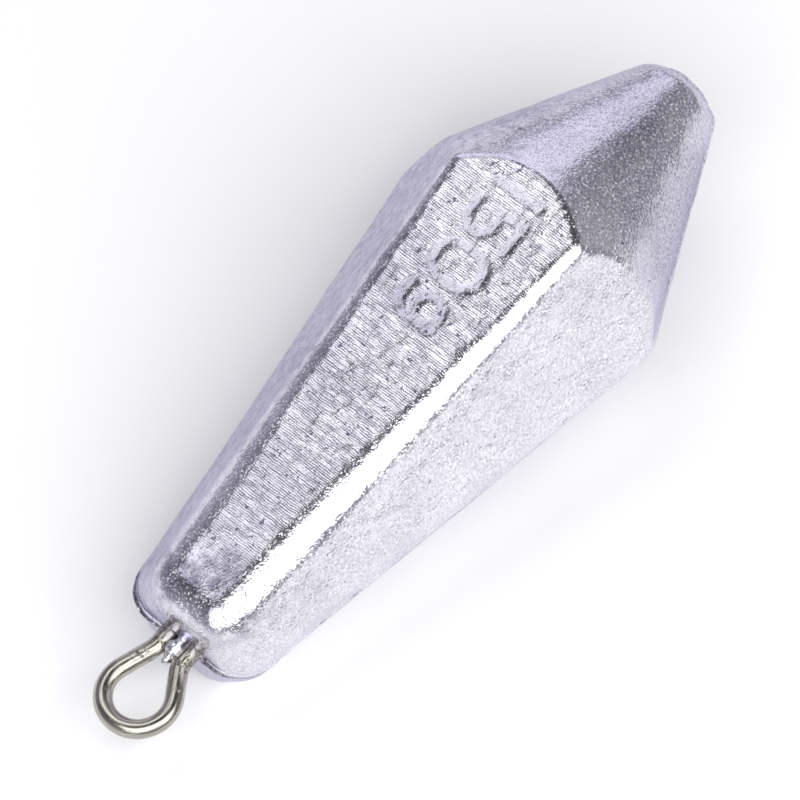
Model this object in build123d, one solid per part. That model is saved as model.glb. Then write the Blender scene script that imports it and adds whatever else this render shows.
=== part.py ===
from build123d import *
import os
from math import acos, atan, atan2, cos, degrees, hypot, radians, sin

# A cast lead fishing sinker: a six-sided body that widens from its narrow end to its shoulder, and
# a round nose that cuts the six sides to arches, as on a sharpened pencil. A bent wire eye is cast
# into the narrow end. The sinker is drawn in its mould's frame, where X runs along the axis from the
# narrow end face at X = 0 to the blunt tip, and the parting plane is Z = 0. It is then laid on its
# lower long face, with the marked face up and the eye at -X. Sizes are in millimetres.

# Lead body. The shoulder is where the nose meets the middle of each long face.
long_face_length = 42.5
nose_length = 16.1
narrow_end_across_flats = 11.05
shoulder_across_flats = 22.1
tip_diameter = 6.6
edge_radius = 2.3

# Traces of the mould on the casting
seam_width = 0.4
seam_height = 0.12
gate_scar_diameter = 4.6
gate_scar_height = 0.35
nib_length = 2.4
nib_thickness = 1.1

# Wire eye, bent from one length of round wire
wire_diameter = 1.5
loop_inside_diameter = 3.9
loop_centre_distance = 5.3
leg_spacing = 2.4
neck_length = 1.6
neck_bend_radius = 2.0
buried_leg_length = 14.0
foot_length = 4.5
foot_angle = 35.0
foot_bend_radius = 2.0

# Raised mass mark on the upper long face, read towards the eye. Its figures are placed by their
# distance from the shoulder.
mark_height = 5.1
mark_width = 3.2
mark_stroke = 0.85
mark_relief = 0.3
mark_shoulder_distances = [2.1, 5.2, 9.2, 13.3]
mark_side_shift = 0.3
bowl_height = 0.25
sign_ring_height = 0.4
sign_ring_diameter = 2.2

# Slopes of the long faces and of the nose
body_length = long_face_length + nose_length
narrow_end_apothem = narrow_end_across_flats / 2
shoulder_apothem = shoulder_across_flats / 2
long_slope = (shoulder_apothem - narrow_end_apothem) / long_face_length
nose_slope = (shoulder_apothem - tip_diameter / 2) / nose_length
long_angle = atan(long_slope)
nose_angle = atan(nose_slope)
shoulder_distance = long_face_length / cos(long_angle)


def hexagon_ring(station):
    """Hexagon of the core across the axis, with flats above and below and corners at the sides."""
    apothem = narrow_end_apothem + long_slope * station - edge_radius / cos(long_angle)
    corner_radius = apothem / cos(radians(30))
    turns = [radians(60 * step) for step in range(6)]
    corners = [(station, corner_radius * cos(turn), corner_radius * sin(turn)) for turn in turns]
    return Wire.make_polygon(corners, close=True)


def nose_radius(station):
    """Radius of the core's nose cone, which runs on back over the long faces."""
    return shoulder_apothem + nose_slope * (long_face_length - station) - edge_radius / cos(nose_angle)


def rounded_body(growth=0.0):
    """The six-sided taper and its nose with all edges rounded, grown outwards all over."""
    first = edge_radius
    last = body_length - edge_radius
    taper = Solid.make_loft([hexagon_ring(first), hexagon_ring(last)], ruled=True)
    cone = Cone(nose_radius(first), nose_radius(last), last - first, rotation=(0, 90, 0))
    core = taper & Pos((first + last) / 2, 0, 0) * cone
    return offset(core, amount=edge_radius + growth, kind=Kind.ARC)


def mould_seam():
    """Thin ridge round the body where the mould's two halves met."""
    slab = Box(2 * (body_length + edge_radius), 2 * shoulder_across_flats, seam_width)
    return rounded_body(seam_height) & slab


def gate_scar():
    """Low stub on the blunt tip, where the pouring gate was broken off."""
    height = edge_radius + gate_scar_height
    stub = Cylinder(gate_scar_diameter / 2, height, rotation=(0, 90, 0))
    return Pos(body_length + gate_scar_height - height / 2, 0, 0) * stub


def lead_nib():
    """Lead that ran out of the mould between the legs of the eye."""
    length = nib_length + edge_radius
    nib = Box(length, leg_spacing, nib_thickness)
    return Pos(length / 2 - nib_length, 0, 0) * nib


def wire_path():
    """Centre line of the wire: foot, leg, neck and loop, then the same on the other side."""
    loop_radius = (loop_inside_diameter + wire_diameter) / 2
    half_spacing = leg_spacing / 2
    run = loop_centre_distance - neck_length
    turn = atan2(half_spacing, run) + acos(loop_radius / hypot(run, half_spacing))
    loop_joint = (loop_radius * cos(turn) - loop_centre_distance, loop_radius * sin(turn))
    loop_end = (-loop_centre_distance - loop_radius, 0)
    foot_tip = (
        buried_leg_length + foot_length * cos(radians(foot_angle)),
        half_spacing + foot_length * sin(radians(foot_angle)),
    )
    leg = FilletPolyline(
        foot_tip,
        (buried_leg_length, half_spacing),
        (-neck_length, half_spacing),
        loop_joint,
        radius=[foot_bend_radius, neck_bend_radius],
    )
    loop = ThreePointArc(loop_joint, loop_end, (loop_joint[0], -loop_joint[1]))
    return Wire(leg.edges() + loop.edges() + mirror(leg, about=Plane.XZ).edges())


def wire_eye():
    """The round wire along its centre line."""
    path = wire_path()
    section = Plane(path @ 0, z_dir=path % 0) * Circle(wire_diameter / 2)
    return sweep(section, path=path)


def figure_one(top, side):
    """Centre line of a one: a plain upright."""
    return [Wire(Line((0, top), (0, -top)).edges())]


def figure_five(top, side):
    """Centre line of a five: a bar, a stem and a round bowl."""
    bowl_radius = (top + bowl_height) / 2
    bowl_start = side - bowl_radius
    bar_and_stem = Polyline((side, top), (-side, top), (-side, bowl_height), (bowl_start, bowl_height))
    bowl = ThreePointArc((bowl_start, bowl_height), (side, bowl_height - bowl_radius), (bowl_start, -top))
    tail = Line((bowl_start, -top), (-side, -top))
    return [Wire(bar_and_stem.edges() + bowl.edges() + tail.edges())]


def figure_nought(top, side):
    """Centre line of a nought: two half circles joined by straight sides."""
    return [Wire(SlotOverall(2 * top, 2 * side, rotation=90).edges())]


def gram_sign(top, side):
    """Centre lines of the gram sign: a ring, and a stem that hooks under it."""
    radius = sign_ring_diameter / 2
    ring = Pos(0, sign_ring_height) * Circle(radius)
    hook = ThreePointArc(
        (radius, radius - top),
        (radius * cos(radians(45)), radius - top - radius * sin(radians(45))),
        (0, -top),
    )
    stem = Line((radius, sign_ring_height + radius), (radius, radius - top))
    tail = Line((0, -top), (-radius, -top))
    return [Wire(ring.edges()), Wire(stem.edges() + hook.edges() + tail.edges())]


def stroke_band(path):
    """Band of the stroke's width along a centre line, with round ends on an open one."""
    if path.is_closed:
        return Face(path.offset_2d(mark_stroke / 2), [path.offset_2d(-mark_stroke / 2)])
    return Face(path.offset_2d(mark_stroke / 2, side=Side.BOTH))


def mass_mark():
    """Raised figures that follow the marked face and the rounding of the shoulder."""
    top = (mark_height - mark_stroke) / 2
    side = (mark_width - mark_stroke) / 2
    skin = rounded_body(mark_relief)
    glyphs = [figure_one, figure_five, figure_nought, gram_sign]
    raised = []
    for glyph, step_back in zip(glyphs, mark_shoulder_distances):
        along = shoulder_distance - step_back
        place = Plane(
            (along * cos(long_angle), mark_side_shift, narrow_end_apothem + along * sin(long_angle)),
            x_dir=(-cos(long_angle), 0, -sin(long_angle)),
            z_dir=(-sin(long_angle), 0, cos(long_angle)),
        )
        for path in glyph(top, side):
            raised.append(skin & extrude(place * stroke_band(path), amount=edge_radius, both=True))
    return raised


def lead_body(eye):
    """The casting, with the cavity that the wire fills."""
    solid = rounded_body() + mould_seam() + gate_scar() + lead_nib()
    for figure in mass_mark():
        solid += figure
    return solid - eye


# Lay the sinker on its lower long face, with the origin under the middle of its box
eye = wire_eye()
laid = Rot(0, -degrees(long_angle), 0)
nodes = {"lead_body": laid * lead_body(eye), "wire_eye": laid * eye}
box = Compound(children=[shape.solid() for shape in nodes.values()]).bounding_box()
stand = Pos(-box.center().X, -box.center().Y, -box.min.Z)

os.makedirs("parts", exist_ok=True)
for name, shape in nodes.items():
    export_step(stand * shape, f"parts/{name}.step")
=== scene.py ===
from math import acos, atan, atan2, ceil, cos, pi, radians, sin, tan

import bpy
import numpy as np
from mathutils import Euler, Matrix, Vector


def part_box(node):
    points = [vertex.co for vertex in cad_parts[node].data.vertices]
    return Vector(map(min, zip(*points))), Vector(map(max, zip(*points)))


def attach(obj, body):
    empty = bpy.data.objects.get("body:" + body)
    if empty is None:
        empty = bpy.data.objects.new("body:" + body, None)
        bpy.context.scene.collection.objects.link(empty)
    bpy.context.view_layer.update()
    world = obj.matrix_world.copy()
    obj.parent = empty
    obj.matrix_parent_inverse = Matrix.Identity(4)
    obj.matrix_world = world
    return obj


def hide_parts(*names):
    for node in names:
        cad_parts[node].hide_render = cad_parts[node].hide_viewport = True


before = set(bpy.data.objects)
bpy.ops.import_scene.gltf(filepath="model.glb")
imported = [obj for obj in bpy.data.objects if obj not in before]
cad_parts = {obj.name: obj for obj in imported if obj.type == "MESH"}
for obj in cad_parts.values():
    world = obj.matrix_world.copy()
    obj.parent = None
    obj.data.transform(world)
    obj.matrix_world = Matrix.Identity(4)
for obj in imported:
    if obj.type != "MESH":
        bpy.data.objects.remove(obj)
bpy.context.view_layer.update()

# A cast lead fishing sinker with a bent wire eye, lying on one long face. Shapes are worked out in
# the mould's frame, in millimetres: X along the axis from the narrow end face to the blunt tip, and
# the parting plane at Z = 0. Each tree then lays its piece on the long face, in metres.

# Sizes that the solids share
MM = 0.001
LONG_FACE_LENGTH = 42.5
NOSE_LENGTH = 16.1
NARROW_END_APOTHEM = 5.525
SHOULDER_APOTHEM = 11.05
TIP_RADIUS = 3.3
EDGE_RADIUS = 2.3
WIRE_RADIUS = 0.75
LOOP_RADIUS = 2.7
LOOP_CENTRE_DISTANCE = 5.3
LEG_HALF_SPACING = 1.2
NECK_LENGTH = 1.6
NECK_BEND_RADIUS = 2.0
BURIED_LEG_LENGTH = 14.0
FOOT_LENGTH = 4.5
FOOT_ANGLE = radians(35)
FOOT_BEND_RADIUS = 2.0
MARK_HEIGHT = 5.1
MARK_WIDTH = 3.2
MARK_STROKE = 0.85
MARK_SIDE_SHIFT = 0.3
MARK_SHOULDER_DISTANCES = (2.1, 5.2, 9.2, 13.3)
BOWL_HEIGHT = 0.25
SIGN_RING_HEIGHT = 0.4

# Sizes of this one casting, where the solids are even: the rounding of the long edges swells near
# the eye and is least at the shoulder, the mark's round figures are wider, and the loop sits to
# one side
NARROW_EDGE_RADIUS = 3.1
SWOLLEN_EDGE_RADIUS = 3.4
SWOLLEN_STATION = 10.0
SHOULDER_EDGE_RADIUS = 1.2
NOUGHT_WIDTH = 4.0
SIGN_RING_RADIUS = 1.15
LOOP_SIDE_SHIFT = -0.4

# Spacing of the lines that the mould's cutter left
CUTTER_PITCH = 0.18

# Slopes of the long faces and of the nose
BODY_LENGTH = LONG_FACE_LENGTH + NOSE_LENGTH
LONG_SLOPE = (SHOULDER_APOTHEM - NARROW_END_APOTHEM) / LONG_FACE_LENGTH
NOSE_SLOPE = (SHOULDER_APOTHEM - TIP_RADIUS) / NOSE_LENGTH
LONG_ANGLE = atan(LONG_SLOPE)
NOSE_ANGLE = atan(NOSE_SLOPE)
MARK_NORMAL = Vector((-sin(LONG_ANGLE), 0, cos(LONG_ANGLE)))
MARK_ALONG = Vector((cos(LONG_ANGLE), 0, sin(LONG_ANGLE)))

# Where the mould's origin lies once the sinker is laid down
LAID_TURN = Euler((0, -LONG_ANGLE, 0))
eye_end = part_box("wire_eye")[0][0] / MM
LAID_X = eye_end + (LOOP_CENTRE_DISTANCE + LOOP_RADIUS) * cos(LONG_ANGLE) + WIRE_RADIUS
LAID_ORIGIN = Vector((LAID_X, 0, NARROW_END_APOTHEM * cos(LONG_ANGLE)))


def linear(hex_text):
    """Linear colour of an sRGB hex value, with full alpha."""
    channels = [int(hex_text[i:i + 2], 16) / 255 for i in (0, 2, 4)]
    return [c / 12.92 if c <= 0.04045 else ((c + 0.055) / 1.055) ** 2.4 for c in channels] + [1.0]


def add(tree, kind, inputs=None, **settings):
    """Add a node with its settings, and fill or link its inputs."""
    made = tree.nodes.new(kind)
    for name, value in settings.items():
        setattr(made, name, value)
    for key, value in (inputs or {}).items():
        if isinstance(value, bpy.types.NodeSocket):
            tree.links.new(value, made.inputs[key])
        else:
            made.inputs[key].default_value = value
    return made


def new_object(name, data):
    """Object of the scene at the origin."""
    made = bpy.data.objects.new(name, data)
    bpy.context.collection.objects.link(made)
    return made


def mesh_object(name, points, edges=(), faces=()):
    """Object with a mesh of the given points, edges and faces."""
    mesh = bpy.data.meshes.new(name)
    mesh.from_pydata(points, edges, faces)
    return new_object(name, mesh)


def new_tree(name, sockets):
    """Geometry node tree with named inputs."""
    tree = bpy.data.node_groups.new(name, "GeometryNodeTree")
    for socket_name, kind in sockets:
        tree.interface.new_socket(socket_name, in_out="INPUT", socket_type=kind)
    tree.interface.new_socket("Geometry", in_out="OUTPUT", socket_type="NodeSocketGeometry")
    return tree


def lay_down(tree, geometry, material):
    """End a tree: lay its piece on the long face, in metres, and give it its material."""
    laid = add(tree, "GeometryNodeTransform", {
        "Geometry": geometry,
        "Translation": LAID_ORIGIN * MM,
        "Rotation": LAID_TURN,
        "Scale": (MM, MM, MM),
    }).outputs[0]
    smooth = add(tree, "GeometryNodeSetShadeSmooth", {"Geometry": laid}).outputs[0]
    real = add(tree, "GeometryNodeRealizeInstances", {"Geometry": smooth}).outputs[0]
    coated = add(tree, "GeometryNodeSetMaterial", {"Geometry": real, "Material": material}).outputs[0]
    add(tree, "NodeGroupOutput", {"Geometry": coated})


def grow(piece, tree, values):
    """Run a tree on a piece with the given inputs and keep the result as a plain mesh."""
    modifier = piece.modifiers.new(tree.name, "NODES")
    modifier.node_group = tree
    for item in tree.interface.items_tree:
        if item.in_out == "INPUT" and item.name in values:
            modifier[item.identifier] = values[item.name]
    evaluated = piece.evaluated_get(bpy.context.evaluated_depsgraph_get())
    made = bpy.data.meshes.new_from_object(evaluated)
    piece.modifiers.remove(modifier)
    spare = piece.data
    piece.data = made
    made.name = piece.name
    bpy.data.meshes.remove(spare)


def spread(stops):
    """Numbers from stop to stop, each stop given with the number of steps to the next one."""
    numbers = []
    for (here, steps), (there, _) in zip(stops, stops[1:]):
        numbers.extend(here + (there - here) * step / steps for step in range(steps))
    return numbers + [stops[-1][0]]


# Materials


def new_metal(name):
    """Metal material, with its node tree and its shader."""
    material = bpy.data.materials.new(name)
    material.use_nodes = True
    tree = material.node_tree
    shader = tree.nodes["Principled BSDF"]
    shader.inputs["Metallic"].default_value = 1.0
    return material, tree, shader


def mould_place(tree):
    """Place on the casting, in millimetres in the mould's frame."""
    place = add(tree, "ShaderNodeTexCoord").outputs["Object"]
    turn_back = Euler((0, LONG_ANGLE, 0))
    return add(tree, "ShaderNodeMapping", {
        "Vector": place,
        "Location": -(turn_back.to_matrix() @ LAID_ORIGIN),
        "Rotation": turn_back,
        "Scale": (1 / MM, 1 / MM, 1 / MM),
    }).outputs[0]


def lead_zones(tree, mould):
    """Shares from 0 to 1 that say where on the casting a point lies."""
    axes = add(tree, "ShaderNodeSeparateXYZ", {0: mould}).outputs
    # Each share grows along an axis of the mould, between two stations in millimetres
    spans = {
        "past_run_out": ("X", 3.0, 10.0),
        "near_eye": ("X", 9.0, 3.0),
        # Painted shade on the far side grows towards the eye
        "painted_shade_towards_eye": ("X", 34.0, 4.0),
        "darker_towards_eye": ("X", 42.0, 0.0),
        "nose": ("X", 41.0, 46.0),
        "near_side": ("Y", -4.0, -6.5),
        "far_side": ("Y", 3.5, 5.5),
        "top": ("Z", 2.5, 4.5),
        "underside": ("Z", -0.35, -0.7),
    }
    zones = {}
    for name, (axis, start, end) in spans.items():
        span = {"Value": axes[axis], "From Min": start, "From Max": end}
        zones[name] = add(tree, "ShaderNodeMapRange", span).outputs[0]
    for name in ("raised_mark", "flat_face", "crevice"):
        zones[name] = add(tree, "ShaderNodeAttribute", attribute_name=name).outputs["Fac"]
    # The cutter's lines run out before the eye
    zones["cut_face"] = add(
        tree, "ShaderNodeMath", {0: zones["flat_face"], 1: zones["past_run_out"]}, operation="MULTIPLY"
    ).outputs[0]
    return zones


def cutter_grooves(tree, mould, zones):
    """Cutter lines across the marked face, less its figures: narrow grooves in broken streaks."""
    # Width of a band of the wave texture when its scale is 1
    band_at_scale_one = 0.314
    streak_width = 0.2
    streak_stretch = 0.14
    lines = add(tree, "ShaderNodeTexWave", {
        "Vector": mould,
        "Scale": band_at_scale_one / CUTTER_PITCH,
        "Distortion": 5.0,
        "Detail": 2.0,
        "Detail Scale": 0.8,
    }).outputs["Fac"]
    stretched = add(
        tree, "ShaderNodeMapping", {"Vector": mould, "Scale": (1.0, streak_stretch, streak_stretch)}
    ).outputs[0]
    streaks = add(
        tree, "ShaderNodeTexNoise", {"Vector": stretched, "Scale": 1 / streak_width, "Detail": 2.0}
    ).outputs[0]
    cut = add(
        tree, "ShaderNodeMath", {0: lines, 1: 0.45, 2: streaks}, operation="MULTIPLY_ADD"
    ).outputs[0]
    grooves = add(
        tree, "ShaderNodeMapRange", {"Value": cut, "From Min": 0.72, "From Max": 1.0}
    ).outputs[0]
    bare = add(
        tree,
        "ShaderNodeMath",
        {0: zones["cut_face"], 1: zones["raised_mark"]},
        operation="SUBTRACT",
        use_clamp=True,
    ).outputs[0]
    return add(tree, "ShaderNodeMath", {0: grooves, 1: bare}, operation="MULTIPLY").outputs[0]


def lead_patterns(tree, mould, zones):
    """Patterns of the casting's skin: grain, frost and its flakes, dents and pits where the lead met
    the cold mould, dull patches, scuffs and the cutter's grooves."""
    # Size of a mark in millimetres, detail and roughness of each noise
    noises = {
        "grain": (0.2, 1.5, 0.6),
        "frost": (0.2, 2.0, 0.5),
        "dents": (1.111, 2.0, 0.5),
        "hollows": (0.588, 2.0, 0.5),
        "patches": (6.25, 4.0, 0.5),
        "scuffs": (0.833, 4.0, 0.5),
    }
    skin = {"grooves": cutter_grooves(tree, mould, zones)}
    for name, (size, detail, roughness) in noises.items():
        noise = {"Vector": mould, "Scale": 1 / size, "Detail": detail, "Roughness": roughness}
        skin[name] = add(tree, "ShaderNodeTexNoise", noise).outputs[0]
    # The marked face has more pits than the others
    hollows = add(
        tree,
        "ShaderNodeMath",
        {0: zones["flat_face"], 1: 0.05, 2: skin["hollows"]},
        operation="MULTIPLY_ADD",
    ).outputs[0]
    # Part of a noise that each mark takes up
    marks = {
        "bright_grains": (skin["grain"], 0.36, 0.62),
        "flakes": (skin["frost"], 0.62, 0.74),
        "mottles": (skin["dents"], 0.36, 0.66),
        "pits": (hollows, 0.72, 0.77),
        "dull_patches": (skin["patches"], 0.45, 0.75),
        "scratches": (skin["scuffs"], 0.42, 0.68),
    }
    for name, (noise, start, end) in marks.items():
        part = {"Value": noise, "From Min": start, "From Max": end}
        skin[name] = add(tree, "ShaderNodeMapRange", part).outputs[0]
    return skin


def lead_relief(tree, zones, skin):
    """Normal of the skin, from heights in millimetres. The grain is shallower where the cutter's
    lines are, and its flakes stand out near the eye."""
    depth_of_grain = add(
        tree, "ShaderNodeMapRange", {"Value": zones["cut_face"], "To Min": 0.026, "To Max": 0.014}
    ).outputs[0]
    height = add(
        tree, "ShaderNodeMath", {0: skin["grain"], 1: depth_of_grain}, operation="MULTIPLY"
    ).outputs[0]
    sparkle = add(
        tree, "ShaderNodeMath", {0: skin["flakes"], 1: zones["near_eye"]}, operation="MULTIPLY"
    ).outputs[0]
    layers = (
        (skin["flakes"], 0.02),
        (sparkle, 0.03),
        (skin["grooves"], -0.014),
        (skin["dents"], 0.06),
        (skin["pits"], -0.05),
    )
    for layer, depth in layers:
        height = add(
            tree, "ShaderNodeMath", {0: layer, 1: depth, 2: height}, operation="MULTIPLY_ADD"
        ).outputs[0]
    return add(tree, "ShaderNodeBump", {"Height": height, "Distance": MM}).outputs[0]


def lead_oxide_and_painted_shade(tree, zones, skin):
    """Share of dark oxide, and of painted shade, over the bright metal."""
    oxide_and_painted_shade = add(tree, "ShaderNodeMath", {0: skin["dull_patches"], 1: 0.2}, operation="MULTIPLY").outputs[0]
    oxide_and_painted_shade = add(tree, "ShaderNodeMath", {0: oxide_and_painted_shade, 1: skin["pits"]}, operation="MAXIMUM").outputs[0]
    # Far side: random scuffs, plus painted shade that grows towards the eye
    scuffs_and_painted_shade = add(
        tree,
        "ShaderNodeMath",
        {0: zones["painted_shade_towards_eye"], 1: 0.3, 2: skin["scratches"]},
        operation="MULTIPLY_ADD",
    ).outputs[0]
    # Painted shade on the near side: a dark line just under the seam, and a darker nose
    painted_shade_seam_and_nose = add(
        tree, "ShaderNodeMath", {0: zones["nose"], 1: 0.4, 2: zones["underside"]}, operation="MULTIPLY_ADD"
    ).outputs[0]
    grey_grains = add(
        tree, "ShaderNodeMath", {0: 1.0, 1: skin["bright_grains"]}, operation="SUBTRACT"
    ).outputs[0]
    # Each layer lies where all its parts are, up to the share that is given last
    layers = (
        # The marked face: its lines, mottles by the eye, and a darkening that grows towards the eye
        ((skin["grooves"],), 0.55),
        ((skin["mottles"], zones["near_eye"], zones["top"]), 0.5),
        ((zones["darker_towards_eye"], zones["flat_face"]), 0.38),
        # The nose, grey all over and greyer between its bright grains
        ((zones["nose"],), 0.05),
        ((grey_grains, zones["nose"]), 0.36),
        # Painted shade on the near side's seam and nose, scuffs and painted shade on the far side, the
        # raised figures, and painted shade in the gaps round the wire
        ((painted_shade_seam_and_nose, zones["near_side"]), 0.5),
        ((scuffs_and_painted_shade, zones["far_side"]), 0.45),
        ((zones["raised_mark"],), 0.42),
        # Painted shade in the gaps round the wire and along the ledge by the eye
        ((zones["crevice"],), 0.5),
    )
    for parts, share in layers:
        layer = parts[0]
        for part in parts[1:]:
            layer = add(tree, "ShaderNodeMath", {0: layer, 1: part}, operation="MULTIPLY").outputs[0]
        oxide_and_painted_shade = add(
            tree, "ShaderNodeMath", {0: layer, 1: share, 2: oxide_and_painted_shade}, operation="MULTIPLY_ADD"
        ).outputs[0]
    return oxide_and_painted_shade


def as_cast_lead():
    """Lead cast in a steel mould: bright, cold metal with a frosted grain that sparkles. The marked
    face has the fine lines of the mould's cutter, and oxide, pits and scuffs break up the shine. Painted
    shade darkens the crevices, the near side under the seam and on the nose, and the far side towards the
    eye."""
    material, tree, shader = new_metal("lead, cast in a steel mould")
    shader.inputs["Specular Tint"].default_value = linear("D8D6E6")
    mould = mould_place(tree)
    zones = lead_zones(tree, mould)
    skin = lead_patterns(tree, mould, zones)
    tree.links.new(lead_relief(tree, zones, skin), shader.inputs["Normal"])
    bright = add(
        tree,
        "ShaderNodeMix",
        {0: skin["bright_grains"], 6: linear("D3D2DD"), 7: linear("F6F5FA")},
        data_type="RGBA",
    ).outputs[2]
    oxide_and_painted_shade = lead_oxide_and_painted_shade(tree, zones, skin)
    # Dark lilac grey, for oxide and for painted shade
    colour = add(
        tree, "ShaderNodeMix", {0: oxide_and_painted_shade, 6: bright, 7: linear("77748A")}, data_type="RGBA"
    ).outputs[2]
    tree.links.new(colour, shader.inputs["Base Color"])
    frosted = add(tree, "ShaderNodeMapRange", {
        "Value": skin["dents"],
        "From Min": 0.3,
        "From Max": 0.7,
        "To Min": 0.13,
        "To Max": 0.22,
    }).outputs[0]
    tree.links.new(frosted, shader.inputs["Roughness"])
    return material


def drawn_stainless():
    """Bright drawn stainless wire: warm grey and glossy, with the die's lines along it, drawn coarser
    than they are, and the dull bites of the bending tool on its necks."""
    material, tree, shader = new_metal("stainless steel, bright drawn wire")

    die_line_width = 0.2
    die_line_stretch = 0.06
    bite_size = 0.625

    # Millimetres across the wire's section and along its run
    place = add(tree, "ShaderNodeAttribute", attribute_name="along_wire").outputs["Vector"]
    drawn = add(
        tree, "ShaderNodeMapping", {"Vector": place, "Scale": (1.0, 1.0, die_line_stretch)}
    ).outputs[0]
    lines = add(
        tree, "ShaderNodeTexNoise", {"Vector": drawn, "Scale": 1 / die_line_width, "Detail": 3.0}
    ).outputs[0]
    scuffs = add(
        tree, "ShaderNodeTexNoise", {"Vector": place, "Scale": 1 / bite_size, "Detail": 3.0}
    ).outputs[0]
    bites = add(
        tree, "ShaderNodeMapRange", {"Value": scuffs, "From Min": 0.56, "From Max": 0.66}
    ).outputs[0]
    neck = add(tree, "ShaderNodeAttribute", attribute_name="neck").outputs["Fac"]
    bites = add(tree, "ShaderNodeMath", {0: bites, 1: neck}, operation="MULTIPLY").outputs[0]

    # Height in millimetres
    height = add(tree, "ShaderNodeMath", {0: lines, 1: 0.03}, operation="MULTIPLY").outputs[0]
    height = add(
        tree, "ShaderNodeMath", {0: bites, 1: -0.06, 2: height}, operation="MULTIPLY_ADD"
    ).outputs[0]
    bump = add(tree, "ShaderNodeBump", {"Height": height, "Distance": MM}).outputs[0]
    tree.links.new(bump, shader.inputs["Normal"])

    streaked = add(
        tree, "ShaderNodeMapRange", {"Value": lines, "From Min": 0.35, "From Max": 0.65}
    ).outputs[0]
    colour = add(
        tree, "ShaderNodeMix", {0: streaked, 6: linear("95918A"), 7: linear("BFBBB1")}, data_type="RGBA"
    ).outputs[2]
    colour = add(
        tree, "ShaderNodeMix", {0: bites, 6: colour, 7: linear("6E6A62")}, data_type="RGBA"
    ).outputs[2]
    tree.links.new(colour, shader.inputs["Base Color"])
    gloss = add(tree, "ShaderNodeMapRange", {
        "Value": scuffs,
        "From Min": 0.3,
        "From Max": 0.7,
        "To Min": 0.16,
        "To Max": 0.28,
    }).outputs[0]
    tree.links.new(gloss, shader.inputs["Roughness"])
    return material


def white_board():
    """Matt white board under the sinker."""
    material = bpy.data.materials.new("white board, matt")
    material.use_nodes = True
    shader = material.node_tree.nodes["Principled BSDF"]
    shader.inputs["Base Color"].default_value = linear("FBFBFB")
    shader.inputs["Roughness"].default_value = 0.9
    shader.inputs["Specular IOR Level"].default_value = 0.1
    return material


# Lead casting: its sharp skin, the core that its edges are rolled round, its nib and its mark


def taper_apothem(station, inset):
    """Half the size across the flats of the six sides, made smaller all over by an inset."""
    return NARROW_END_APOTHEM + LONG_SLOPE * station - inset / cos(LONG_ANGLE)


def nose_radius(station, inset):
    """Radius of the nose cone, made smaller all over by an inset."""
    return SHOULDER_APOTHEM + NOSE_SLOPE * (LONG_FACE_LENGTH - station) - inset / cos(NOSE_ANGLE)


def hexagon(places):
    """Points of a hexagon with an apothem of 1, at places counted in sides round from +Y."""
    corners = [Vector((cos(radians(60 * k)), sin(radians(60 * k)))) / cos(radians(30)) for k in range(7)]
    return [corners[int(place)].lerp(corners[int(place) + 1], place - int(place)) for place in places]


def body_ring(station, outline, inset=0.0):
    """Points round the body at one station: the six sides, or the nose where that is narrower."""
    apothem = taper_apothem(station, inset)
    radius = nose_radius(station, inset)
    scales = [min(apothem, radius / spot.length) for spot in outline]
    return [(station, spot.x * scale, spot.y * scale) for spot, scale in zip(outline, scales)]


def tube(name, rings, first, last):
    """Closed mesh through rings of points, with a pole at each end."""
    count = len(rings[0])
    points = [first] + [point for ring in rings for point in ring] + [last]
    end = len(points) - 1
    faces = []
    for j in range(count):
        k = (j + 1) % count
        faces.append((0, 1 + j, 1 + k))
        for low in range(1, end - count, count):
            faces.append((low + j, low + count + j, low + count + k, low + k))
        faces.append((end - count + j, end, end - count + k))
    return mesh_object(name, points, faces=faces)


def sharp_skin():
    """Grid over the body with its edges still sharp, finest on the marked face and at the seam."""
    # Places round the six sides, then shares and stations, each with its steps to the next one
    outline = hexagon(spread([
        (0.0, 8), (0.06, 26), (0.8, 14), (1.0, 14), (1.2, 72), (1.8, 14), (2.0, 14), (2.2, 34),
        (2.94, 8), (3.0, 8), (3.06, 14), (4.0, 16), (5.0, 14), (5.94, 8), (6.0, 0),
    ])[:-1])
    rim = body_ring(0, outline)
    tip = body_ring(BODY_LENGTH, outline)
    rings = []
    for share in spread([(0.0, 18), (0.5, 16), (1.0, 0)])[1:]:
        rings.append([(0, y * share, z * share) for _, y, z in rim])
    stations = spread([(0, 12), (2, 64), (27, 130), (44, 30), (BODY_LENGTH - 2, 12), (BODY_LENGTH, 0)])
    rings.extend(body_ring(station, outline) for station in stations[1:])
    for share in spread([(1.0, 10), (0.5, 8), (0.0, 0)])[1:-1]:
        rings.append([(BODY_LENGTH, y * share, z * share) for _, y, z in tip])
    return tube("lead_casting", rings, (0, 0, 0), (BODY_LENGTH, 0, 0))


def edge_radius(station):
    """Radius of the long edges: it swells near the narrow end and is least at the shoulder."""
    stations = (NARROW_EDGE_RADIUS, SWOLLEN_STATION, LONG_FACE_LENGTH, BODY_LENGTH - EDGE_RADIUS)
    radii = (NARROW_EDGE_RADIUS, SWOLLEN_EDGE_RADIUS, SHOULDER_EDGE_RADIUS, EDGE_RADIUS)
    return float(np.interp(station, stations, radii))


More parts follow.
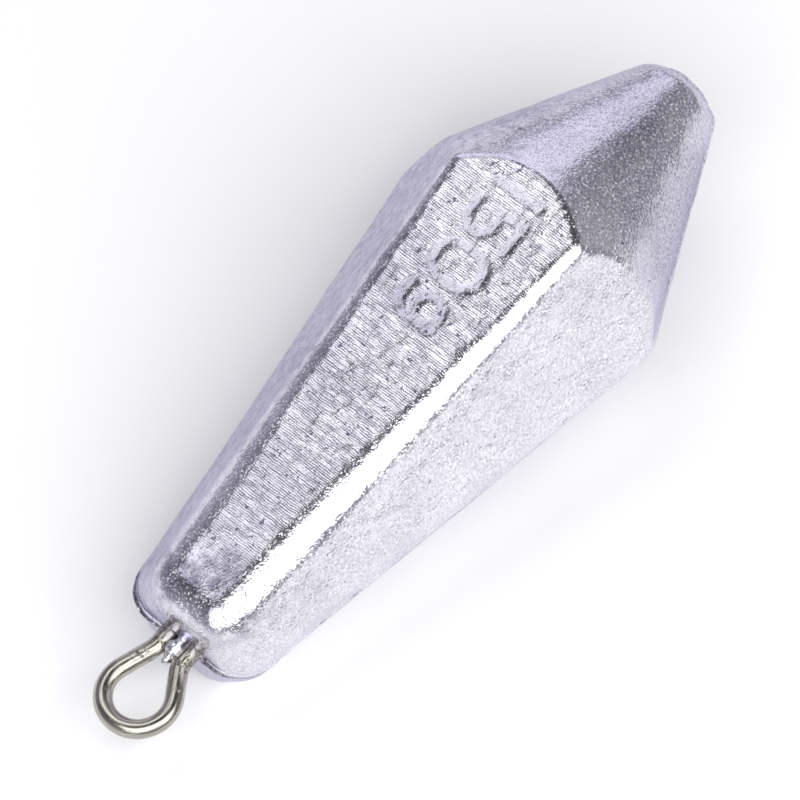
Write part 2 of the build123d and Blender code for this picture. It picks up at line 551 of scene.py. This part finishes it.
def rounding_core():
    """The sharp body, smaller all over by the edge radius, for that radius to roll around. Each of
    its points keeps the radius there."""
    outline = hexagon(spread([(side, 120) for side in range(6)] + [(6, 0)])[:-1])
    rings = []
    radii = [NARROW_EDGE_RADIUS]
    for station in (NARROW_EDGE_RADIUS, SWOLLEN_STATION):
        rings.append(body_ring(station, outline, edge_radius(station)))
        radii += [edge_radius(station)] * len(outline)
    # The shoulder's station and radius depend on each other, so a few rounds settle them
    shoulder = []
    for spot in outline:
        station = LONG_FACE_LENGTH
        for _ in range(4):
            inset = edge_radius(station)
            reach = nose_radius(0, inset) - taper_apothem(0, inset) * spot.length
            station = reach / (LONG_SLOPE * spot.length + NOSE_SLOPE)
        shoulder += body_ring(station, [spot], inset)
        radii.append(inset)
    last = BODY_LENGTH - EDGE_RADIUS
    rings += [shoulder, body_ring(last, outline, EDGE_RADIUS)]
    radii += [EDGE_RADIUS] * (len(outline) + 1)
    core = tube("rounding_core", rings, (NARROW_EDGE_RADIUS, 0, 0), (last, 0, 0))
    core.data.attributes.new("edge_radius", "FLOAT", "POINT").data.foreach_set("value", radii)
    return core


def lead_nib():
    """Spill of lead between the legs of the eye, with a drop at its end."""
    # Station, half width and half height
    profile = (
        (1.5, 0.45, 0.6),
        (0.2, 0.45, 0.7),
        (-0.2, 0.55, 0.85),
        (-0.7, 0.78, 1.0),
        (-1.2, 0.72, 0.9),
        (-1.6, 0.45, 0.55),
        (-1.85, 0.36, 0.42),
        (-2.05, 0.38, 0.45),
        (-2.3, 0.2, 0.2),
    )
    stations, half_widths, half_heights = zip(*profile)
    ahead = [-station for station in stations]
    side_shift = -0.12
    point_length = 0.05
    count = 28
    turns = [2 * pi * k / count for k in range(count)]
    rings = []
    for station in spread([(stations[0], 40), (stations[-1], 0)]):
        wide = np.interp(-station, ahead, half_widths)
        tall = np.interp(-station, ahead, half_heights)
        rings.append([(station, side_shift + wide * cos(turn), -tall * sin(turn)) for turn in turns])
    point = (stations[-1] - point_length, side_shift, 0)
    return tube("lead_nib", rings, (stations[0], side_shift, 0), point)


def arc(centre, radius, start, end, steps=16):
    """Points of an arc between two angles in degrees."""
    turns = [radians(start + (end - start) * step / steps) for step in range(steps + 1)]
    return [(centre[0] + radius * cos(t), centre[1] + radius * sin(t)) for t in turns]


def mark_lines():
    """Centre lines of the raised figures and of the gram sign, each about its own middle."""
    top = (MARK_HEIGHT - MARK_STROKE) / 2
    side = (MARK_WIDTH - MARK_STROKE) / 2
    bowl_radius = (top + BOWL_HEIGHT) / 2
    bowl_start = side - bowl_radius
    round_side = (NOUGHT_WIDTH - MARK_STROKE) / 2
    rise = top - round_side
    one = [[(0, top), (0, -top)]]
    bowl = arc((bowl_start, BOWL_HEIGHT - bowl_radius), bowl_radius, 90, -90)
    five = [[(side, top), (-side, top), (-side, BOWL_HEIGHT)] + bowl + [(-side, -top)]]
    upper_bow = arc((0, rise), round_side, 0, 180)
    lower_bow = arc((0, -rise), round_side, 180, 360)
    nought = [upper_bow + lower_bow + [(round_side, rise)]]
    ring = arc((0, SIGN_RING_HEIGHT), SIGN_RING_RADIUS, 0, 360, 32)
    hook = arc((0, SIGN_RING_RADIUS - top), SIGN_RING_RADIUS, 0, -90)
    stem = [(SIGN_RING_RADIUS, SIGN_RING_HEIGHT + SIGN_RING_RADIUS)] + hook + [(-SIGN_RING_RADIUS, -top)]
    return one, five, nought, [ring, stem]


def mark_strokes():
    """The mark's centre lines laid on the plane of the marked face, read towards the eye."""
    shoulder = LONG_FACE_LENGTH / cos(LONG_ANGLE)
    points = []
    edges = []
    for glyph, step_back in zip(mark_lines(), MARK_SHOULDER_DISTANCES):
        for line in glyph:
            first = len(points)
            for across, up in line:
                spot = MARK_ALONG * (shoulder - step_back - across)
                points.append((spot.x, MARK_SIDE_SHIFT - up, NARROW_END_APOTHEM + spot.z))
            edges.extend((first + i, first + i + 1) for i in range(len(line) - 1))
    return mesh_object("mark_strokes", points, edges=edges)


# Node tree of the casting, one function for each thing that the mould and the pour leave on it


def rolled_edges(tree, given):
    """Place of each point on the skin of the core rounded by its edge radius, and the way out there."""
    here = add(tree, "GeometryNodeInputPosition").outputs[0]
    core = add(tree, "GeometryNodeObjectInfo", {"Object": given["Core"]}).outputs["Geometry"]
    nearest = add(
        tree, "GeometryNodeProximity", {0: core, "Sample Position": here}, target_element="FACES"
    ).outputs["Position"]
    away = add(tree, "ShaderNodeVectorMath", {0: here, 1: nearest}, operation="SUBTRACT").outputs[0]
    out = add(tree, "ShaderNodeVectorMath", {0: away}, operation="NORMALIZE").outputs[0]
    kept_radius = add(
        tree, "GeometryNodeInputNamedAttribute", {"Name": "edge_radius"}, data_type="FLOAT"
    ).outputs[0]
    reach = add(
        tree,
        "GeometryNodeSampleNearestSurface",
        {"Mesh": core, "Value": kept_radius, "Sample Position": here},
        data_type="FLOAT",
    ).outputs[0]
    radius = add(tree, "ShaderNodeVectorMath", {0: out, "Scale": reach}, operation="SCALE").outputs[0]
    rounded = add(tree, "ShaderNodeVectorMath", {0: nearest, 1: radius}, operation="ADD").outputs[0]
    return rounded, out


def mark_figures(tree, given, rounded):
    """Share of the raised mark, by the distance from its centre lines on the plane of the marked face,
    and the height over that plane."""
    from_plane = add(
        tree, "ShaderNodeVectorMath", {0: rounded, 1: (0, 0, NARROW_END_APOTHEM)}, operation="SUBTRACT"
    ).outputs[0]
    height = add(
        tree, "ShaderNodeVectorMath", {0: from_plane, 1: MARK_NORMAL}, operation="DOT_PRODUCT"
    ).outputs["Value"]
    rise = add(
        tree, "ShaderNodeVectorMath", {0: MARK_NORMAL, "Scale": height}, operation="SCALE"
    ).outputs[0]
    flat = add(tree, "ShaderNodeVectorMath", {0: rounded, 1: rise}, operation="SUBTRACT").outputs[0]
    strokes = add(tree, "GeometryNodeObjectInfo", {"Object": given["Mark Strokes"]}).outputs["Geometry"]
    from_stroke = add(
        tree, "GeometryNodeProximity", {0: strokes, "Sample Position": flat}, target_element="EDGES"
    ).outputs["Distance"]
    bounds = {0: given["Mark Half Stroke"], 1: given["Mark Slope"]}
    foot = add(tree, "ShaderNodeMath", bounds, operation="ADD").outputs[0]
    crest = add(tree, "ShaderNodeMath", bounds, operation="SUBTRACT").outputs[0]
    figures = add(
        tree,
        "ShaderNodeMapRange",
        {"Value": from_stroke, "From Min": foot, "From Max": crest},
        interpolation_type="SMOOTHSTEP",
    ).outputs[0]
    upper = add(tree, "ShaderNodeMath", {0: height, 1: -EDGE_RADIUS}, operation="GREATER_THAN").outputs[0]
    figures = add(tree, "ShaderNodeMath", {0: figures, 1: upper}, operation="MULTIPLY").outputs[0]
    return figures, height


def seam_flash(tree, given, rounded, off_plane):
    """Share of the seam along the parting plane, uneven along its length."""
    ridge = add(
        tree,
        "ShaderNodeMapRange",
        {"Value": off_plane, "From Min": given["Seam Half Width"], "From Max": 0.0},
        interpolation_type="SMOOTHSTEP",
    ).outputs[0]
    ragged = add(tree, "ShaderNodeTexNoise", {"Vector": rounded, "Scale": 0.5, "Detail": 3.0}).outputs[0]
    return add(tree, "ShaderNodeMath", {0: ridge, 1: ragged}, operation="MULTIPLY").outputs[0]


def mould_mismatch(tree, given, axes):
    """Shift of the mould's halves: the lower one as a whole, the upper one sideways from end to end."""
    step_depth = 0.12
    lower = add(
        tree, "ShaderNodeMapRange", {"Value": axes["Z"], "From Min": 0.0, "From Max": -step_depth}
    ).outputs[0]
    lower_shift = add(
        tree, "ShaderNodeVectorMath", {0: given["Lower Shift"], "Scale": lower}, operation="SCALE"
    ).outputs[0]
    upper = add(tree, "ShaderNodeMath", {0: 1.0, 1: lower}, operation="SUBTRACT").outputs[0]
    sideways = add(tree, "ShaderNodeMapRange", {
        "Value": axes["X"],
        "From Max": LONG_FACE_LENGTH,
        "To Min": given["Upper Shift At Eye"],
        "To Max": given["Upper Shift At Shoulder"],
    }).outputs[0]
    sideways = add(tree, "ShaderNodeMath", {0: sideways, 1: upper}, operation="MULTIPLY").outputs[0]
    upper_shift = add(tree, "ShaderNodeCombineXYZ", {"Y": sideways}).outputs[0]
    return add(
        tree, "ShaderNodeVectorMath", {0: lower_shift, 1: upper_shift}, operation="ADD"
    ).outputs[0]


def broken_gate(tree, given, rounded, axes):
    """Share of the stub on the tip where the gate was broken off, with a ragged rim."""
    raggedness = 1.2
    rim_width = 0.35
    ragged = add(tree, "ShaderNodeTexNoise", {"Vector": rounded, "Scale": 1.2, "Detail": 4.0}).outputs[0]
    across = add(
        tree, "ShaderNodeVectorMath", {0: rounded, 1: (0, 1, 1)}, operation="MULTIPLY"
    ).outputs[0]
    from_axis = add(tree, "ShaderNodeVectorMath", {0: across}, operation="LENGTH").outputs["Value"]
    rim = add(
        tree, "ShaderNodeMath", {0: ragged, 1: raggedness, 2: from_axis}, operation="MULTIPLY_ADD"
    ).outputs[0]
    rim_end = add(
        tree, "ShaderNodeMath", {0: given["Scar Radius"], 1: rim_width}, operation="ADD"
    ).outputs[0]
    stub = add(
        tree, "ShaderNodeMapRange", {"Value": rim, "From Min": rim_end, "From Max": given["Scar Radius"]}
    ).outputs[0]
    at_tip = add(
        tree, "ShaderNodeMath", {0: axes["X"], 1: BODY_LENGTH - EDGE_RADIUS}, operation="GREATER_THAN"
    ).outputs[0]
    for share in (at_tip, ragged):
        stub = add(tree, "ShaderNodeMath", {0: stub, 1: share}, operation="MULTIPLY").outputs[0]
    return stub


def leg_gaps(tree, given, axes, at_eye):
    """Share of the gaps round the legs of the eye, where the lead shrank from the wire."""
    aside = add(tree, "ShaderNodeMath", {0: axes["Y"]}, operation="ABSOLUTE").outputs[0]
    off_leg = add(tree, "ShaderNodeMath", {0: aside, 1: LEG_HALF_SPACING}, operation="SUBTRACT").outputs[0]
    leg_offset = add(tree, "ShaderNodeCombineXYZ", {"Y": off_leg, "Z": axes["Z"]}).outputs[0]
    from_leg = add(tree, "ShaderNodeVectorMath", {0: leg_offset}, operation="LENGTH").outputs["Value"]
    gap = add(
        tree,
        "ShaderNodeMapRange",
        {"Value": from_leg, "From Min": given["Gap Radius"], "From Max": WIRE_RADIUS},
        interpolation_type="SMOOTHSTEP",
    ).outputs[0]
    return add(tree, "ShaderNodeMath", {0: gap, 1: at_eye}, operation="MULTIPLY").outputs[0]


def skin_waves(tree, rounded):
    """Broad and fine waves of the skin as it set, each from minus a half to a half."""
    waves = []
    # Size in millimetres, and detail
    for size, detail in ((9.0, 1.0), (2.2, 2.0)):
        noise = add(
            tree, "ShaderNodeTexNoise", {"Vector": rounded, "Scale": 1 / size, "Detail": detail}
        ).outputs[0]
        waves.append(add(tree, "ShaderNodeMath", {0: noise, 1: 0.5}, operation="SUBTRACT").outputs[0])
    return waves


def lumpy_nib(tree, given):
    """The nib of lead between the legs, with lumps."""
    nib = add(tree, "GeometryNodeObjectInfo", {"Object": given["Nib"]}).outputs["Geometry"]
    here = add(tree, "GeometryNodeInputPosition").outputs[0]
    lump = add(tree, "ShaderNodeTexNoise", {"Vector": here, "Scale": 1.1, "Detail": 2.0}).outputs["Color"]
    lump = add(
        tree, "ShaderNodeVectorMath", {0: lump, 1: (0.5, 0.5, 0.5)}, operation="SUBTRACT"
    ).outputs[0]
    lump = add(
        tree, "ShaderNodeVectorMath", {0: lump, "Scale": given["Nib Lumps"]}, operation="SCALE"
    ).outputs[0]
    return add(tree, "GeometryNodeSetPosition", {"Geometry": nib, "Offset": lump}).outputs[0]


def casting_tree():
    """Rounds the sharp skin and adds what the mould and the pour leave on it."""
    tree = new_tree("casting", [
        ("Skin", "NodeSocketGeometry"),
        ("Core", "NodeSocketObject"),
        ("Mark Strokes", "NodeSocketObject"),
        ("Nib", "NodeSocketObject"),
        ("Mark Half Stroke", "NodeSocketFloat"),
        ("Mark Slope", "NodeSocketFloat"),
        ("Mark Relief", "NodeSocketFloat"),
        ("Seam Half Width", "NodeSocketFloat"),
        ("Seam Height", "NodeSocketFloat"),
        ("Lower Shift", "NodeSocketVector"),
        ("Upper Shift At Eye", "NodeSocketFloat"),
        ("Upper Shift At Shoulder", "NodeSocketFloat"),
        ("Scar Radius", "NodeSocketFloat"),
        ("Scar Height", "NodeSocketFloat"),
        ("Gap Radius", "NodeSocketFloat"),
        ("Gap Depth", "NodeSocketFloat"),
        ("Nib Lumps", "NodeSocketFloat"),
        ("Broad Waves", "NodeSocketFloat"),
        ("Fine Waves", "NodeSocketFloat"),
        ("Material", "NodeSocketMaterial"),
    ])
    given = add(tree, "NodeGroupInput").outputs
    rounded, out = rolled_edges(tree, given)
    axes = add(tree, "ShaderNodeSeparateXYZ", {0: rounded}).outputs
    off_plane = add(tree, "ShaderNodeMath", {0: axes["Z"]}, operation="ABSOLUTE").outputs[0]
    at_eye = add(tree, "ShaderNodeMath", {0: axes["X"], 1: EDGE_RADIUS}, operation="LESS_THAN").outputs[0]
    figures, height = mark_figures(tree, given, rounded)
    gap = leg_gaps(tree, given, axes, at_eye)
    shrunk = add(tree, "ShaderNodeMath", {0: gap, 1: -1.0}, operation="MULTIPLY").outputs[0]
    broad, fine = skin_waves(tree, rounded)

    # Lift of the skin along its way out, and the shift of the mould's halves
    lifts = (
        (figures, "Mark Relief"),
        (seam_flash(tree, given, rounded, off_plane), "Seam Height"),
        (broken_gate(tree, given, rounded, axes), "Scar Height"),
        (shrunk, "Gap Depth"),
        (broad, "Broad Waves"),
        (fine, "Fine Waves"),
    )
    total = 0.0
    for layer, amount in lifts:
        total = add(
            tree, "ShaderNodeMath", {0: layer, 1: given[amount], 2: total}, operation="MULTIPLY_ADD"
        ).outputs[0]
    lift = add(tree, "ShaderNodeVectorMath", {0: out, "Scale": total}, operation="SCALE").outputs[0]
    skin = rounded
    for shift in (lift, mould_mismatch(tree, given, axes)):
        skin = add(tree, "ShaderNodeVectorMath", {0: skin, 1: shift}, operation="ADD").outputs[0]
    moved = add(tree, "GeometryNodeSetPosition", {"Geometry": given["Skin"], "Position": skin}).outputs[0]

    # What the material needs to know: the figures, the flat of the marked face, and the crevices round
    # the wire and at the ledge between the mould's halves, which the material darkens as painted shade
    flat_face = add(
        tree, "ShaderNodeMapRange", {"Value": height, "From Min": -0.06, "From Max": -0.01}
    ).outputs[0]
    # The ledge at the eye end between the mould's halves, darkened in the material as a painted shadow
    # line
    ledge = add(
        tree, "ShaderNodeMapRange", {"Value": off_plane, "From Min": 0.14, "From Max": 0.05}
    ).outputs[0]
    ledge = add(tree, "ShaderNodeMath", {0: ledge, 1: at_eye}, operation="MULTIPLY").outputs[0]
    crevice = add(tree, "ShaderNodeMath", {0: gap, 1: ledge}, operation="MAXIMUM").outputs[0]
    for name, value in (("raised_mark", figures), ("flat_face", flat_face), ("crevice", crevice)):
        moved = add(
            tree,
            "GeometryNodeStoreNamedAttribute",
            {"Geometry": moved, "Name": name, "Value": value},
            data_type="FLOAT",
            domain="POINT",
        ).outputs[0]

    whole = add(tree, "GeometryNodeJoinGeometry")
    for part in (moved, lumpy_nib(tree, given)):
        tree.links.new(part, whole.inputs[0])
    lay_down(tree, whole.outputs[0], given["Material"])
    return tree


def lead_casting(material):
    """The lead body with its mark, seam and waves."""
    piece = sharp_skin()
    core = rounding_core()
    strokes = mark_strokes()
    nib = lead_nib()
    grow(piece, casting_tree(), {
        "Core": core,
        "Mark Strokes": strokes,
        "Nib": nib,
        "Mark Half Stroke": MARK_STROKE / 2,
        "Mark Slope": 0.24,
        "Mark Relief": 0.052,
        "Seam Half Width": 0.3,
        "Seam Height": 0.2,
        "Lower Shift": (-0.28, -0.04, 0.0),
        "Upper Shift At Eye": -0.24,
        "Upper Shift At Shoulder": 0.05,
        "Scar Radius": 2.6,
        "Scar Height": 0.6,
        "Gap Radius": 1.0,
        "Gap Depth": 0.25,
        "Nib Lumps": 0.25,
        "Broad Waves": 0.25,
        "Fine Waves": 0.06,
        "Material": material,
    })
    for helper in (core, strokes, nib):
        bpy.data.objects.remove(helper)
    return piece


# Wire eye


def bend(before, corner, after, radius):
    """Points of the arc that rounds a corner between two straight runs."""
    into = (corner - before).normalized()
    away = (after - corner).normalized()
    turn = into.angle_signed(away)
    start = corner - into * radius * abs(tan(turn / 2))
    side = 1 if turn < 0 else -1
    normal = Vector((-into.y, into.x)) * side
    centre = start + normal * radius
    steps = max(4, ceil(abs(turn) / radians(6)))
    points = []
    for step in range(steps + 1):
        angle = abs(turn) * step / steps
        points.append(centre + (into * sin(angle) - normal * cos(angle)) * radius)
    return points


def wire_route():
    """Centre line of the wire, from foot to foot round a loop that sits a little to one side."""
    centre = Vector((-LOOP_CENTRE_DISTANCE, LOOP_SIDE_SHIFT))
    halves = []
    angles = []
    for side in (1, -1):
        neck = Vector((-NECK_LENGTH, side * LEG_HALF_SPACING))
        run = neck - centre
        angle = atan2(run.y, run.x) + side * acos(LOOP_RADIUS / run.length)
        joint = centre + Vector((cos(angle), sin(angle))) * LOOP_RADIUS
        ankle = Vector((BURIED_LEG_LENGTH, side * LEG_HALF_SPACING))
        foot = ankle + Vector((cos(FOOT_ANGLE), side * sin(FOOT_ANGLE))) * FOOT_LENGTH
        half = [foot] + bend(foot, ankle, neck, FOOT_BEND_RADIUS)
        half += bend(ankle, neck, joint, NECK_BEND_RADIUS)
        halves.append(half)
        angles.append(angle % (2 * pi))
    steps = 72
    loop = []
    for step in range(steps + 1):
        angle = angles[0] + (angles[1] - angles[0]) * step / steps
        loop.append(centre + Vector((cos(angle), sin(angle))) * LOOP_RADIUS)
    return halves[0] + loop + halves[1][::-1]


def wire_tree():
    """Round wire along a centre line, laid down with the casting."""
    tree = new_tree("bent_wire", [
        ("Route", "NodeSocketGeometry"),
        ("Wire Radius", "NodeSocketFloat"),
        ("Step", "NodeSocketFloat"),
        ("Sides", "NodeSocketInt"),
        ("Material", "NodeSocketMaterial"),
    ])
    given = add(tree, "NodeGroupInput").outputs
    curve = add(tree, "GeometryNodeMeshToCurve", {"Mesh": given["Route"]}).outputs[0]
    even = add(
        tree, "GeometryNodeResampleCurve", {"Curve": curve, "Length": given["Step"]}, mode="LENGTH"
    ).outputs[0]
    ring = add(
        tree,
        "GeometryNodeCurvePrimitiveCircle",
        {"Resolution": given["Sides"], "Radius": given["Wire Radius"]},
    ).outputs[0]

    # Place of each point across the section and along the run, for the lines of the drawing die
    here = add(tree, "GeometryNodeInputPosition").outputs[0]
    run = add(tree, "GeometryNodeSplineParameter").outputs["Length"]
    run_ahead = add(tree, "ShaderNodeCombineXYZ", {"Z": run}).outputs[0]
    sections = []
    for line, value in ((even, run_ahead), (ring, here)):
        kept = add(tree, "GeometryNodeCaptureAttribute", {"Geometry": line}, domain="POINT")
        kept.capture_items.new("VECTOR", "place")
        tree.links.new(value, kept.inputs[1])
        sections.append(kept.outputs)
    wire = add(
        tree,
        "GeometryNodeCurveToMesh",
        {"Curve": sections[0][0], "Profile Curve": sections[1][0], "Fill Caps": True},
    ).outputs[0]
    along_wire = add(
        tree, "ShaderNodeVectorMath", {0: sections[0][1], 1: sections[1][1]}, operation="ADD"
    ).outputs[0]

    # Nearness to the necks, for the bites of the bending tool
    forward = add(tree, "ShaderNodeSeparateXYZ", {0: here}).outputs["X"]
    from_neck = add(tree, "ShaderNodeMath", {0: forward, 1: NECK_LENGTH}, operation="ADD").outputs[0]
    from_neck = add(tree, "ShaderNodeMath", {0: from_neck}, operation="ABSOLUTE").outputs[0]
    neck = add(
        tree, "ShaderNodeMapRange", {"Value": from_neck, "From Min": 2.0, "From Max": 1.2}
    ).outputs[0]
    for name, value, kind in (("along_wire", along_wire, "FLOAT_VECTOR"), ("neck", neck, "FLOAT")):
        wire = add(
            tree,
            "GeometryNodeStoreNamedAttribute",
            {"Geometry": wire, "Name": name, "Value": value},
            data_type=kind,
            domain="POINT",
        ).outputs[0]
    lay_down(tree, wire, given["Material"])
    return tree


def bent_wire_eye(material):
    """The wire eye, with its loop bent a little to one side."""
    points = [(spot.x, spot.y, 0) for spot in wire_route()]
    piece = mesh_object("bent_wire_eye", points, edges=[(i, i + 1) for i in range(len(points) - 1)])
    grow(piece, wire_tree(), {"Wire Radius": WIRE_RADIUS, "Step": 0.12, "Sides": 32, "Material": material})
    return piece


# Pieces

casting = lead_casting(as_cast_lead())
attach(casting, "root")
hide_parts("lead_body")

eye = bent_wire_eye(drawn_stainless())
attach(eye, "root")
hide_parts("wire_eye")

# Floor, light and camera


def floor():
    """Wide white board that the sinker lies on."""
    half = 2.0
    points = [(-half, -half, 0), (half, -half, 0), (half, half, 0), (-half, half, 0)]
    board = mesh_object("floor", points, faces=[(0, 1, 2, 3)])
    board.data.materials.append(white_board())


def soft_box(name, azimuth, elevation, width, height, radiance, tint="FFFFFF"):
    """Rectangular soft light of even brightness, aimed at the sinker. Its azimuth runs from +X."""
    distance = 0.75
    data = bpy.data.lights.new(name, "AREA")
    data.shape = "RECTANGLE"
    data.size = width
    data.size_y = height
    data.energy = radiance * pi * width * height
    data.color = linear(tint)[:3]
    lamp = new_object(name, data)
    turn = radians(azimuth)
    rise = radians(elevation)
    out = Vector((cos(turn) * cos(rise), sin(turn) * cos(rise), sin(rise)))
    lamp.location = out * distance
    lamp.rotation_euler = out.to_track_quat("Z", "Y").to_euler()


def room(low, high):
    """Dim room: brighter near the horizon than overhead, darker in front, and lilac behind."""
    world = bpy.data.worlds.new("room")
    world.use_nodes = True
    tree = world.node_tree
    direction = add(tree, "ShaderNodeTexCoord").outputs["Generated"]
    axes = add(tree, "ShaderNodeSeparateXYZ", {0: direction}).outputs
    strength = add(tree, "ShaderNodeMapRange", {
        "Value": axes["Z"],
        "From Min": 0.3,
        "From Max": 0.8,
        "To Min": low,
        "To Max": high,
    }).outputs[0]
    darker_in_front = add(tree, "ShaderNodeMapRange", {
        "Value": axes["Y"],
        "From Min": -0.5,
        "From Max": -0.9,
        "To Min": 1.0,
        "To Max": 0.55,
    }).outputs[0]
    strength = add(
        tree, "ShaderNodeMath", {0: strength, 1: darker_in_front}, operation="MULTIPLY"
    ).outputs[0]
    behind = add(
        tree, "ShaderNodeMapRange", {"Value": axes["Y"], "From Min": -0.2, "From Max": 0.4}
    ).outputs[0]
    wall = add(
        tree, "ShaderNodeMix", {0: behind, 6: linear("F6F5FE"), 7: linear("ECE9FC")}, data_type="RGBA"
    ).outputs[2]
    background = tree.nodes["Background"]
    tree.links.new(strength, background.inputs["Strength"])
    tree.links.new(wall, background.inputs["Color"])
    bpy.context.scene.world = world


def camera():
    """Long lens over the sinker, aimed at a point inside it, as in the photograph."""
    target = Vector((LAID_X + 24.03, -0.74, 10.9)) * MM
    azimuth = radians(-49.04)
    elevation = radians(59.99)
    distance = 601.4 * MM
    back = Vector((sin(azimuth) * cos(elevation), -cos(azimuth) * cos(elevation), sin(elevation)))
    data = bpy.data.cameras.new("camera")
    data.sensor_width = 36
    data.lens = 360
    made = new_object("camera", data)
    made.location = target + back * distance
    made.rotation_euler = (-back).to_track_quat("-Z", "Y").to_euler()
    bpy.context.scene.camera = made


floor()
room(low=0.48, high=0.1)
soft_box("front_softbox", azimuth=238, elevation=47, width=1.4, height=0.8, radiance=2.7)
soft_box("back_softbox", azimuth=84, elevation=64, width=0.56, height=0.36, radiance=1.6)
soft_box("side_softbox", azimuth=40, elevation=27, width=0.76, height=0.45, radiance=0.76, tint="F0EDFF")
camera()
bpy.context.scene.view_settings.view_transform = "Standard"
